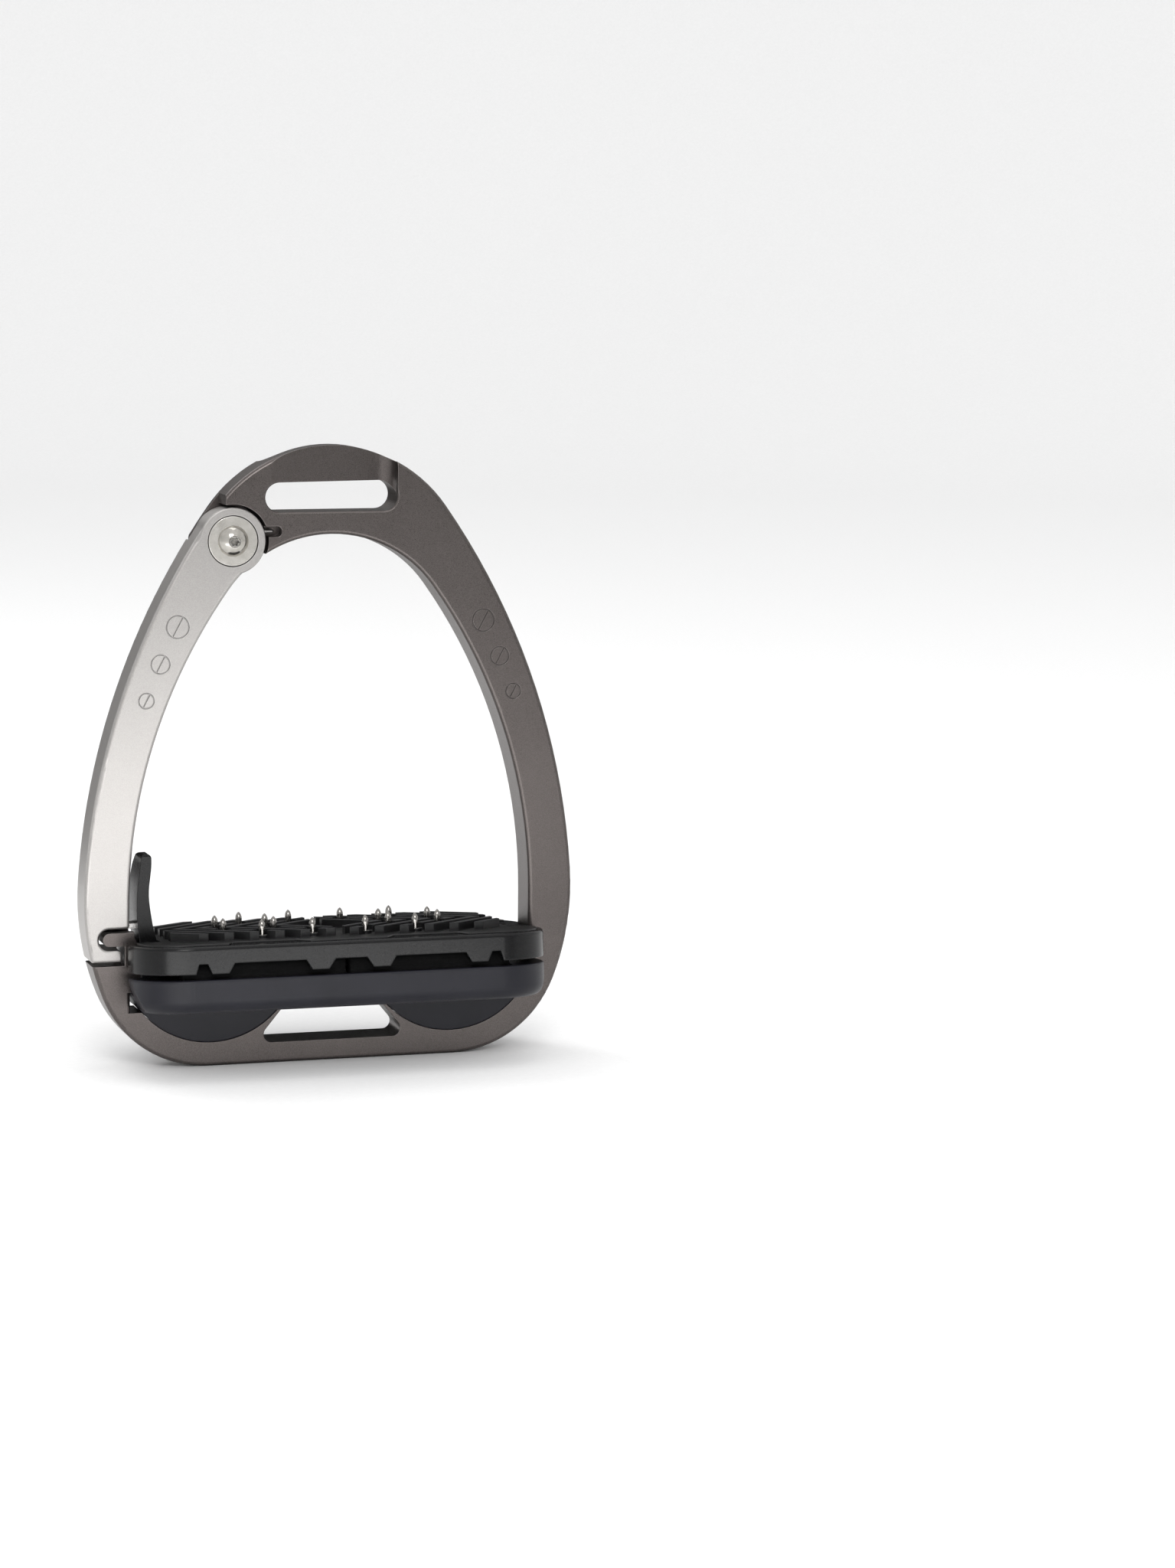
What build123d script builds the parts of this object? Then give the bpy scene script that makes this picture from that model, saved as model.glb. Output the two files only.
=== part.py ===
from build123d import *
import math
import os

# Safety stirrup iron, standing on its flat base: X across the foot, Y from toe (-Y) to heel (+Y), Z up.
# The origin is the middle of the base. The safety arm is the -X limb. All sizes in millimetres.

# ---- frame outline: a chain of tangent arcs from the crown to the base, mirrored about X = 0 ----
FRAME_T = 12.2                      # thickness of the forged ring, front face to back face
CROWN_Z = 181.068                   # top of the leather bar
OUTER_ARCS = ((42.2, 54.54), (213.2, 31.49), (75.8, 25.64), (33.6, 68.33))   # radius, degrees turned
OPENING_TOP_Z = 155.34
INNER_ARCS = ((37.6, 54.17), (157.7, 35.83))
EDGE_R = 1.1                        # rounding along the ring's edges
# ---- base: two round seats for the tread housing's pods and a window between them ----
POD_X, POD_Z, POD_R = 36.3, 33.8, 26.7
FIN_TOP_Z = 16.9                    # top of the fins between the seats and the window
WINDOW_FLOOR_Z = 6.2
WINDOW_HALF_BOTTOM, WINDOW_HALF_TOP = 23.4, 13.8
WINDOW_CORNER_R = 2.4

MARK_LINE, MARK_DEPTH = 0.35, 0.22  # the engraved marks on the limbs

# ---- leather bar ----
SLOT_LENGTH, SLOT_HEIGHT, SLOT_Z = 39.6, 8.6, 166.2
RAMP_START_X, RAMP_DEEP_X, RAMP_DEPTH = 18.0, 14.0, 5.9
RAMP_FILLET_R = 4.5

# ---- hinge of the safety arm ----
HINGE_X, HINGE_Z = -29.4, 153.8
ARM_DIRECTION = 236.5               # degrees, the way the arm leaves the hinge in the XZ plane
EYE_R, EYE_GAP_R = 9.7, 10.6        # arm's eye, and the front cut-out around it (also the ear's radius)
EAR_GAP_R = 11.4
EAR_FRONT_Y = 3.1                   # the frame's ear covers the back of the eye from here
LAP_GAP = 0.3
FRONT_END_X = -31.4                 # the frame's front face ends here, beside the eye
BOSS_R, BUSH_R, EYE_BORE_R = 4.0, 5.0, 5.05
SPRING_CAVITY_R, SPRING_CAVITY_Y = 7.0, -0.2
DISC_R, DISC_T = 7.35, 1.2
SPRING_R, SPRING_WIRE_R, SPRING_PITCH, SPRING_TURNS = 5.9, 0.55, 1.15, 2.8
SPRING_FRONT_Y, SPRING_LEG_END_X = -4.1, -17.6  # the fixed leg lies in the frame's anchor slot
ANCHOR_SLOT_Z, ANCHOR_SLOT_HALF, ANCHOR_SLOT_END_X = 156.35, 1.55, -14.9
M5_R, M5_HOLE_R = 2.5, 2.52

# ---- lower joint: the arm's jaw closes on a tongue of the frame ----
ARM_END_Z, STUB_TOP_Z = 32.0, 30.9
JAW_X, JAW_BOTTOM_Z, JAW_TOP_Z = -69.4, 35.6, 41.7
LIP_END_X = -62.5
TONGUE_X, TONGUE_BOTTOM_Z, TONGUE_TOP_Z = -68.3, 36.7, 40.6
POST_LEFT_X, POST_RIGHT_X = -61.9, -59.0
HOOK_FOOT_Z = 23.0                  # the pod reaches up to the foot of the hook that holds the tongue
LATCH_GROOVE_Y, LATCH_GROOVE_Z = 3.0, 39.8      # groove on the tongue for the latch blade

# ---- tread: built flat as (u, v, w), then tipped toe-up about the X axis ----
TREAD_TILT = 5.0
TREAD_PIVOT_Z = 17.5                # underside of the housing at Y = 0
TREAD_HALF_U, TREAD_FRONT_V, TREAD_BACK_V = 62.1, -30.5, 36.7
BAND_TOP_W = 9.8                    # top edge of the housing
SKIRT_W, ARCH_W = 11.5, 14.4        # lower edge of the tray, and the top of the arches in it
PLATE_W, PAD_FLOOR_W = 14.6, 16.2
PAD_TOP_W, RIM_W = 20.0, 19.4
RIB_TOP_W, STUD_TIP_W = 22.4, 25.4
WALL = 2.6
CAVITY_HALF_U = 49.5                # the tray and the housing are solid past here
FLOOR_W = 2.8
NOTCH_HALF_Y, LEVER_NOTCH_HALF_Y, LEVER_NOTCH_X = 6.7, 11.8, -52.3
RIM_NOTCH_U = 52.5

RIB_V, RIB_FIRST_U, RIB_PITCH_U, RIB_COUNT, RIB_WIDTH = -0.9, 15.45, 7.55, 7, 2.0
RIB_INNER_U, RIB_OUTER_U, RIB_BACK_V, RIB_FRONT_V = 1.75, 49.6, 23.3, -20.4
STUD_ROWS = (5.65, 15.05)            # distance of the stud rows from the ribs' vertex line
STUD_RIBS = (1, 3)                  # the ribs that carry studs

PAD_SCREW_U, PAD_SCREW_V, PAD_SCREW_SEAT_W = 29.5, 30.5, 18.4
BOLT_U, BOLT_V = 43.0, (-19.0, 20.0)
PILLAR_TOP_W, BOSS_BOTTOM_W, BOLT_SEAT_W = 6.0, 8.0, 3.2

# ---- release lever ----
LEVER_PIVOT_X, LEVER_PIVOT_Z, LEVER_BARREL_R = -55.2, 35.3, 2.2
LEVER_HALF_Y, BARREL_HALF_Y, EAR_T = 6.0, 9.0, 2.0
LEVER_TOP_Z = 63.4
PIN_R = 1.5
LEVER_SPRING_R, LEVER_SPRING_WIRE_R = 2.37, 0.25

HINGE = Vector(HINGE_X, HINGE_Z)
HALF_T = FRAME_T / 2


# ---------------------------------------------------------------- helpers

def plate(face, y_front, y_back):
    """A flat face drawn as (X, Z), made into a plate between two Y planes."""
    return extrude(Plane.XZ.offset(-y_back) * face, y_back - y_front)


def polygon(*points):
    return make_face(Polyline(*points, close=True))


def disc(x, z, radius):
    return Pos(x, z) * Circle(radius)


def box_between(low, high):
    size = [b - a for a, b in zip(low, high)]
    middle = [(a + b) / 2 for a, b in zip(low, high)]
    return Pos(*middle) * Box(*size)


def y_cylinder(x, z, radius, y_front, y_back):
    return plate(disc(x, z, radius), y_front, y_back)


def hexagon(across_flats):
    return RegularPolygon(across_flats / math.sqrt(3), 6)


def tip(shape):
    """Take a tread part from its flat (u, v, w) frame to its place in the iron."""
    return Pos(0, 0, TREAD_PIVOT_Z) * Rot(-TREAD_TILT, 0, 0) * shape


def cylinder_up(x, y, radius, low, high):
    return Pos(x, y, (low + high) / 2) * Cylinder(radius, high - low)


def group(solids):
    return Compound(list(solids))


# ---------------------------------------------------------------- ring outline

def arc_chain(start_z, arcs):
    """Tangent arcs from the middle of the top, turning down the +X side."""
    edges = []
    point, heading = Vector(0, start_z), Vector(1, 0)
    for radius, degrees in arcs:
        edge = JernArc(point, heading, radius, -degrees)
        edges.append(edge)
        point, heading = edge @ 1, edge % 1
    return edges


def outer_face():
    right = arc_chain(CROWN_Z, OUTER_ARCS)
    foot = right[-1] @ 1
    edges = right + [mirror(edge, about=Plane.YZ) for edge in right]
    edges.append(Line((foot.X, foot.Y), (-foot.X, foot.Y)))
    return make_face(edges)


def upper_opening_face():
    right = arc_chain(OPENING_TOP_Z, INNER_ARCS)
    side = right[-1] @ 1
    edges = right + [mirror(edge, about=Plane.YZ) for edge in right]
    edges.append(Line((side.X, side.Y), (side.X, FIN_TOP_Z)))
    edges.append(Line((side.X, FIN_TOP_Z), (-side.X, FIN_TOP_Z)))
    edges.append(Line((-side.X, FIN_TOP_Z), (-side.X, side.Y)))
    return make_face(edges)


def pod_seat_faces():
    seat = disc(POD_X, POD_Z, POD_R) & box_face(0, 60.29, 0, FIN_TOP_Z + 6)
    return seat + mirror(seat, about=Plane.YZ)


def box_face(x_low, x_high, z_low, z_high):
    return polygon((x_low, z_low), (x_high, z_low), (x_high, z_high), (x_low, z_high))


def window_face():
    top = FIN_TOP_Z + 1
    face = polygon((-WINDOW_HALF_BOTTOM, WINDOW_FLOOR_Z), (WINDOW_HALF_BOTTOM, WINDOW_FLOOR_Z),
                   (WINDOW_HALF_TOP, top), (-WINDOW_HALF_TOP, top))
    low_corners = face.vertices().sort_by(Axis.Y)[:2]
    return fillet(low_corners, WINDOW_CORNER_R)


def arm_side():
    """Everything on the arm's side of the line through the hinge, down to the frame's stub."""
    along = math.radians(ARM_DIRECTION + 90)
    across = Vector(math.cos(along), math.sin(along))
    inner, outer = HINGE + across * 14, HINGE - across * 60
    return polygon((inner.X, inner.Y), (-45, 60), (-45, STUB_TOP_Z), (-95, STUB_TOP_Z),
                   (-95, 195), (outer.X, outer.Y))


def round_rims(solid, radius, lowest_z):
    """Round the edges of a plate that lie in its front and back faces, above a height."""
    edges = solid.edges()
    front = edges.filter_by_position(Axis.Y, -HALF_T - 0.01, -HALF_T + 0.01)
    back = edges.filter_by_position(Axis.Y, HALF_T - 0.01, HALF_T + 0.01)
    high = [edge for edge in front + back if edge.center().Z > lowest_z]
    return fillet(high, radius)


def rounded_ring():
    """The ring with its outside and the rim of its foot opening rounded."""
    blank = round_rims(plate(outer_face(), -HALF_T, HALF_T), EDGE_R, 0.5)
    blank -= plate(upper_opening_face(), -HALF_T - 1, HALF_T + 1)
    opening = [edge for edge in blank.edges().filter_by_position(Axis.X, -60.3, 60.3)
               if abs(abs(edge.center().Y) - HALF_T) < 0.01 and FIN_TOP_Z + 1 < edge.center().Z < 158]
    blank = fillet(opening, EDGE_R)
    return blank - plate(pod_seat_faces() + window_face(), -HALF_T - 1, HALF_T + 1)


# ---------------------------------------------------------------- frame

def leather_slot():
    slot = Pos(0, SLOT_Z) * SlotOverall(SLOT_LENGTH, SLOT_HEIGHT)
    mouth = Pos(0, SLOT_Z) * SlotOverall(SLOT_LENGTH + 0.8, SLOT_HEIGHT + 0.8)
    front_mouth = extrude(Plane.XZ.offset(HALF_T) * mouth, -0.4, taper=45)
    back_mouth = Rot(0, 0, 180) * front_mouth
    return plate(slot, -HALF_T - 1, HALF_T + 1) + front_mouth + back_mouth


def bar_ramp():
    """The wedge cut from the front of the leather bar, so that the bar stands at an angle."""
    step_x = SLOT_LENGTH / 2
    face = polygon((-RAMP_START_X, -HALF_T), (RAMP_DEEP_X, -HALF_T + RAMP_DEPTH),
                   (step_x, -HALF_T + RAMP_DEPTH + 0.6), (step_x, -HALF_T - 2),
                   (-RAMP_START_X, -HALF_T - 2))
    deep_corners = face.vertices().sort_by(Axis.Y)[-2:]
    face = fillet(deep_corners.sort_by(Axis.X)[-1], RAMP_FILLET_R)
    return Pos(0, 0, SLOT_Z) * extrude(face, CROWN_Z - SLOT_Z + 5)


def ring_marks(side):
    """Three engraved rings of growing size on one limb, each crossed by a slanting line."""
    cuts = []
    for x, z, radius in ((55.1, 108.1, 2.4), (50.9, 118.6, 2.9), (45.8, 129.3, 3.45)):
        ring = Circle(radius) - Circle(radius - MARK_LINE)
        bar = Rot(0, 0, 62) * Rectangle(2 * radius - MARK_LINE, MARK_LINE)
        mark = Pos(side * x, z) * (ring + bar)
        cuts.append(plate(mark, -HALF_T - 1, -HALF_T + MARK_DEPTH))
        cuts.append(plate(mark, HALF_T - MARK_DEPTH, HALF_T + 1))
    return group(cuts)


def tongue_and_post():
    """The hook that stands on the frame's short limb and carries the arm's jaw."""
    height = TONGUE_TOP_Z - TONGUE_BOTTOM_Z
    middle_z = (TONGUE_TOP_Z + TONGUE_BOTTOM_Z) / 2
    nose_x = TONGUE_X + height / 2
    tongue = disc(nose_x, middle_z, height / 2)
    tongue += box_face(nose_x, POST_RIGHT_X, TONGUE_BOTTOM_Z, TONGUE_TOP_Z)
    post = polygon((POST_LEFT_X, TONGUE_TOP_Z), (POST_RIGHT_X, TONGUE_TOP_Z), (POST_RIGHT_X, 39),
                   (-57.9, 36), (-57.9, 32.4), (-56.6, 31), (-56.6, HOOK_FOOT_Z),
                   (-61, HOOK_FOOT_Z), (-63.5, 24),
                   (-63.5, STUB_TOP_Z), (POST_LEFT_X, STUB_TOP_Z))
    hook = plate(tongue + post, -HALF_T, HALF_T)
    groove = box_between((JAW_X, -LATCH_GROOVE_Y, LATCH_GROOVE_Z), (-55, LATCH_GROOVE_Y, 50))
    return hook - groove


def hinge_boss():
    return y_cylinder(HINGE_X, HINGE_Z, BOSS_R, -HALF_T + DISC_T, EAR_FRONT_Y + 0.5)


def anchor_slot():
    z_low, z_high = ANCHOR_SLOT_Z - ANCHOR_SLOT_HALF, ANCHOR_SLOT_Z + ANCHOR_SLOT_HALF
    end_x = ANCHOR_SLOT_END_X - ANCHOR_SLOT_HALF
    face = box_face(HINGE_X + EYE_R, end_x, z_low, z_high) + disc(end_x, ANCHOR_SLOT_Z, ANCHOR_SLOT_HALF)
    return plate(face, -HALF_T - 1, -2.4)


def main_frame():
    ring = rounded_ring()
    side = arm_side()
    eye_gap = disc(HINGE_X, HINGE_Z, EYE_GAP_R)
    front_cut = side + eye_gap + box_face(-95, FRONT_END_X, 150, 195)
    back_cut = side - eye_gap
    ring -= plate(front_cut, -HALF_T - 1, EAR_FRONT_Y)
    ring -= plate(back_cut, EAR_FRONT_Y - 0.01, HALF_T + 1)
    ring = ring + hinge_boss() + tongue_and_post()
    ring -= y_cylinder(HINGE_X, HINGE_Z, M5_HOLE_R, -HALF_T, HALF_T - 1.4)
    ring -= leather_slot()
    ring -= bar_ramp() + Rot(0, 0, 180) * bar_ramp()
    ring -= anchor_slot()
    ring -= ring_marks(1)
    for x in (-POD_X, POD_X):
        ring -= cylinder_up(x, 0, M5_HOLE_R, 1.2, POD_Z)
    return ring


# ---------------------------------------------------------------- safety arm and its hinge

def arm_limb():
    """The arm's share of the ring, with its long edges rounded."""
    face = (outer_face() - upper_opening_face()) & arm_side()
    face -= box_face(-95, -45, 0, ARM_END_Z)
    limb = plate(face, -HALF_T, HALF_T)
    long_edges = [edge for edge in limb.edges() if edge.length > 15 and abs(edge.center().Y) > HALF_T - 0.1]
    return fillet(long_edges, EDGE_R)


def jaw_cut():
    """The opening that slides over the tongue, and the room beside the lower lip."""
    radius = (JAW_TOP_Z - JAW_BOTTOM_Z) / 2
    middle_z = (JAW_TOP_Z + JAW_BOTTOM_Z) / 2
    jaw = box_face(JAW_X + radius, -50, JAW_BOTTOM_Z, JAW_TOP_Z) + disc(JAW_X + radius, middle_z, radius)
    beside = box_face(LIP_END_X, -50, ARM_END_Z - 5, JAW_BOTTOM_Z + 0.1)
    return plate(jaw + beside, -HALF_T - 1, HALF_T + 1)


def round_corner(solid, x, z, radius):
    """Round the one edge along Y that stands nearest to (x, z)."""
    edge = solid.edges().filter_by(Axis.Y).sort_by_distance((x, 0, z))[0]
    return fillet(edge, radius)


def latch_pocket():
    """The pocket in the arm's upper jaw, with the catch that the lever's blade holds."""
    deep = box_between((-66.9, -LATCH_GROOVE_Y, JAW_TOP_Z - 1), (-62.6, LATCH_GROOVE_Y, 45.2))
    shallow = box_between((-62.7, -LATCH_GROOVE_Y, JAW_TOP_Z - 1), (-59, LATCH_GROOVE_Y, 43.45))
    return deep + shallow


def leg_window():
    """Room in the eye's wall for the spring's fixed leg while the arm swings."""
    sector = polygon((0, 0), (30, 4.5), (30, 40), (-4, 40))
    face = Pos(HINGE_X, HINGE_Z) * ((Circle(EYE_R + 2) - Circle(SPRING_CAVITY_R - 0.2)) & sector)
    return plate(face, -HALF_T + DISC_T + 0.15, -3.4)


def safety_arm():
    lap_y = EAR_FRONT_Y - LAP_GAP
    front_face = -HALF_T - 1
    eye = y_cylinder(HINGE_X, HINGE_Z, EYE_R, -HALF_T, lap_y)
    eye = chamfer(eye.edges().group_by(Axis.Y)[0], 0.3)
    arm = arm_limb() - plate(disc(HINGE_X, HINGE_Z, EAR_GAP_R), lap_y, HALF_T + 1)
    arm = arm + eye - jaw_cut()
    arm = round_corner(arm, LIP_END_X, JAW_BOTTOM_Z, 1.8)
    arm = round_corner(arm, LIP_END_X, ARM_END_Z, 0.9)
    arm = round_corner(arm, -60.29, JAW_TOP_Z, 0.8)
    arm -= y_cylinder(HINGE_X, HINGE_Z, EYE_BORE_R, front_face, HALF_T)
    arm -= y_cylinder(HINGE_X, HINGE_Z, SPRING_CAVITY_R, front_face, SPRING_CAVITY_Y)
    arm -= y_cylinder(HINGE_X, HINGE_Z, DISC_R + 0.12, front_face, -HALF_T + DISC_T + 0.1)
    arm -= leg_window()
    arm -= latch_pocket()
    arm -= ring_marks(-1)
    return arm


def hinge_cover_disc():
    cover = y_cylinder(HINGE_X, HINGE_Z, DISC_R, -HALF_T, -HALF_T + DISC_T)
    cover -= y_cylinder(HINGE_X, HINGE_Z, M5_HOLE_R, -HALF_T - 1, 0)
    outer_edge = cover.edges().filter_by(GeomType.CIRCLE).sort_by(Axis.Y)[0:2].sort_by(SortBy.LENGTH)[-1]
    return chamfer(outer_edge, 0.25)


def six_lobes(across):
    """The outline of a six-lobed socket."""
    core = Circle(across * 0.4)
    lobe = Pos(across * 0.38, 0) * Circle(across * 0.12)
    return core + [Rot(0, 0, 60 * index) * lobe for index in range(6)]


def button_screw(head_r, head_h, shank_r, shank_length, socket):
    """A domed-head screw along +Z, head underside at z = 0, shank going down."""
    dome_r = (head_r ** 2 + head_h ** 2) / (2 * head_h)
    dome = Pos(0, 0, head_h - dome_r) * Sphere(dome_r)
    head = dome & cylinder_up(0, 0, head_r, 0, head_h)
    screw = head + cylinder_up(0, 0, shank_r, -shank_length, 0)
    screw -= Pos(0, 0, head_h * 0.4) * extrude(six_lobes(socket), head_h)
    screw -= cylinder_up(0, 0, socket * 0.66, head_h * 0.86, head_h + 1)
    return chamfer(screw.edges().group_by(Axis.Z)[0], shank_r * 0.2)


def hinge_screw():
    screw = button_screw(4.5, 2.6, M5_R, 9.8, 2.8)
    return Pos(HINGE_X, -HALF_T, HINGE_Z) * Rot(90, 0, 0) * screw


def hinge_bush():
    sleeve = y_cylinder(HINGE_X, HINGE_Z, BUSH_R, -0.1, EAR_FRONT_Y - 0.02)
    flange = y_cylinder(HINGE_X, HINGE_Z, 8.4, EAR_FRONT_Y - LAP_GAP + 0.03, EAR_FRONT_Y - 0.02)
    return sleeve + flange - y_cylinder(HINGE_X, HINGE_Z, BOSS_R + 0.02, -1, HALF_T)


def torsion_coil(radius, wire_r, pitch, turns, leg):
    """Coils that start at (radius, 0, 0) and climb +Z, with a straight leg leaving the far end."""
    coil = Helix(pitch, pitch * turns, radius)
    end = coil @ 1
    path = Wire([coil, Line(end, end + (coil % 1) * leg)])
    section = Plane(origin=path @ 0, z_dir=path % 0) * Circle(wire_r)
    return sweep(section, path=path)


def wire_leg(start, end, wire_r):
    """A straight wire with rounded ends, for a leg bent away from the coil."""
    axis = Vector(*end) - Vector(*start)
    rod = Plane(origin=start, z_dir=axis) * extrude(Circle(wire_r), axis.length)
    return rod + Pos(*start) * Sphere(wire_r) + Pos(*end) * Sphere(wire_r)


def hinge_spring():
    leg_rise = ANCHOR_SLOT_Z - HINGE_Z
    start_angle = math.degrees(math.asin(leg_rise / SPRING_R))
    coil = torsion_coil(SPRING_R, SPRING_WIRE_R, SPRING_PITCH, SPRING_TURNS, 1.2)
    turned = Rot(90, 0, 0) * Rot(0, 0, start_angle) * Rot(180, 0, 0) * coil
    coil = Pos(HINGE_X, SPRING_FRONT_Y, HINGE_Z) * turned
    bend_x = HINGE_X + math.sqrt(SPRING_R ** 2 - leg_rise ** 2)
    leg = wire_leg((bend_x, SPRING_FRONT_Y, ANCHOR_SLOT_Z), (SPRING_LEG_END_X, SPRING_FRONT_Y, ANCHOR_SLOT_Z),
                   SPRING_WIRE_R)
    return coil + leg


# ---------------------------------------------------------------- tread plan

def tread_outline():
    """Plan of the tray and the housing: tight corners at the toe, wide ones at the heel."""
    u, front, back = TREAD_HALF_U, TREAD_FRONT_V, TREAD_BACK_V
    face = polygon((-u, front), (u, front), (u, 13), (43.5, back), (-43.5, back), (-u, 13))
    toe = face.vertices().sort_by(Axis.Y)[:2]
    face = fillet(toe, 16)
    heel = face.vertices().sort_by(Axis.Y)[-4:]
    return fillet(heel, 22)


def inner_outline(inset):
    face = offset(tread_outline(), amount=-inset)
    return face & box_face(-CAVITY_HALF_U, CAVITY_HALF_U, -50, 50)


def end_notches(left_x, right_x, half_y, low_w, high_w):
    """Boxes that clear the frame's limbs at both ends of the tread, upright in the iron."""
    z_low, z_high = TREAD_PIVOT_Z + low_w, TREAD_PIVOT_Z + high_w
    left = box_between((-80, -half_y, z_low), (left_x, half_y, z_high))
    right = box_between((right_x, -half_y, z_low), (80, half_y, z_high))
    return left, right


# ---------------------------------------------------------------- housing and cushions

def pod(side):
    """The round-bottomed block that fills one seat of the frame."""
    seat = disc(side * POD_X, POD_Z, POD_R - 0.15)
    keep = box_face(min(0, side * 59.9), max(0, side * 59.9), 0, TREAD_PIVOT_Z + 2.2)
    keep -= box_face(-14.9, 14.9, 0, 40)
    if side < 0:
        keep += box_face(-59.9, -56, POD_Z - 20, HOOK_FOOT_Z - 0.2)
    return plate(seat & keep, -HALF_T + 0.1, HALF_T - 0.1)


def bolt_places():
    return [(side * BOLT_U, v) for side in (-1, 1) for v in BOLT_V]


def housing_shell():
    shell = extrude(tread_outline(), BAND_TOP_W)
    shell = fillet(shell.edges().group_by(Axis.Z)[0], 3.6)
    shell = fillet(shell.edges().group_by(Axis.Z)[-1], 0.7)
    shell -= Pos(0, 0, FLOOR_W) * extrude(inner_outline(WALL), BAND_TOP_W)
    for u, v in bolt_places():
        shell += cylinder_up(u, v, 5.6, 1, PILLAR_TOP_W)
        shell -= cylinder_up(u, v, 4.4, -1, BOLT_SEAT_W)
        shell -= cylinder_up(u, v, 2.6, -1, PILLAR_TOP_W + 1)
    return shell


def lever_ears():
    """Two cheeks of the housing that hold the lever's pin."""
    outline = polygon((-58, 21), (-52.7, 21), (-52.7, 35.5), (LEVER_PIVOT_X + 2, 37.2),
                      (LEVER_PIVOT_X - 2, 37.2), (-58, 34.5))
    gap_y = BARREL_HALF_Y + 0.3
    cheek = plate(outline, gap_y, gap_y + EAR_T)
    return cheek + mirror(cheek, about=Plane.XZ)


def lower_corner(side):
    """The part of a housing end that stands outside the circle of its pod."""
    corner = box_face(min(side * POD_X, side * 70), max(side * POD_X, side * 70), 0, POD_Z)
    return plate(corner - disc(side * POD_X, POD_Z, POD_R - 0.15), -60, 60)


def tread_housing():
    body = tip(housing_shell())
    body -= box_between((-80, -LEVER_NOTCH_HALF_Y, 23), (-50.6, LEVER_NOTCH_HALF_Y, 45))
    body = body - lower_corner(-1) - lower_corner(1) + lever_ears()
    left, right = end_notches(-56.2, 59.9, NOTCH_HALF_Y, -12, 25)
    body = body - (left + right) + pod(-1) + pod(1)
    body -= y_cylinder(LEVER_PIVOT_X, LEVER_PIVOT_Z, PIN_R + 0.01, -20, 20)
    for x in (-POD_X, POD_X):
        body -= cylinder_up(x, 0, M5_R + 0.25, 0, 40)
        body -= cylinder_up(x, 0, 4.6, TREAD_PIVOT_Z + 2.2, 40)
    return body


def frame_screw(x):
    head = cylinder_up(x, 0, 4.25, TREAD_PIVOT_Z + 2.3, TREAD_PIVOT_Z + 6.3)
    head -= Pos(x, 0, TREAD_PIVOT_Z + 4) * extrude(hexagon(4.0), 5)
    head = chamfer(head.edges().group_by(Axis.Z)[-1].sort_by(SortBy.LENGTH)[-1:], 0.4)
    return head + cylinder_up(x, 0, M5_R, 1.8, TREAD_PIVOT_Z + 2.3)


def frame_screws():
    return group(frame_screw(x) for x in (-POD_X, POD_X))


def cushion(side):
    """A rubber block between the housing's floor and the tray."""
    keep = box_face(min(side * 0.45, side * 49), max(side * 0.45, side * 49), -26, 25)
    face = offset(tread_outline(), amount=-WALL - 1) & keep
    face -= box_face(min(side * BOLT_U, side * 60), max(side * BOLT_U, side * 60), 18, 40)
    block = Pos(0, 0, FLOOR_W + 0.02) * extrude(face, PLATE_W - FLOOR_W - 0.07)
    for u, v in bolt_places():
        block -= cylinder_up(u, v, 6.2, 0, 20)
    block = tip(block)
    return block - cylinder_up(side * POD_X, 0, 5.2, 0, 50)


# ---------------------------------------------------------------- tray

def arch(u_bottom_low, u_top_low, u_top_high, u_bottom_high):
    return polygon((u_bottom_low, SKIRT_W - 1), (u_bottom_high, SKIRT_W - 1), (u_bottom_high, SKIRT_W),
                   (u_top_high, ARCH_W), (u_top_low, ARCH_W), (u_bottom_low, SKIRT_W))


def skirt_arches():
    faces = arch(-6.7, -4.7, 4.7, 6.7)
    for side_arch in (arch(11.6, 13.4, 34.5, 36.2), arch(41.1, 42.4, 45.0, 45.9)):
        faces += side_arch
        faces += mirror(side_arch, about=Plane.YZ)
    return plate(faces, -60, 60)


def pad_outline(gap):
    """Plan of the tread pad, with the recesses that lock it under the rim."""
    heel = Polyline((0, -28.4), (0, 35.9), (40.5, 35.9), (39.3, 30.8))
    shoulder = ThreePointArc((39.3, 30.8), (50.9, 22.8), (57.8, 9.3))
    toe = Polyline((57.8, 9.3), (RIM_NOTCH_U, 9.3), (RIM_NOTCH_U, -13.7), (59.7, -13.7),
                   (59.7, -28.4), (35.6, -28.4), (33.8, -23.8), (14.6, -23.8), (11.5, -28.4), (0, -28.4))
    half = make_face([heel, shoulder, toe])
    half = fillet(half.vertices().sort_by_distance((59.7, -28.4))[0], 12)
    face = half + mirror(half, about=Plane.YZ)
    return offset(face, amount=gap) if gap else face


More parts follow.
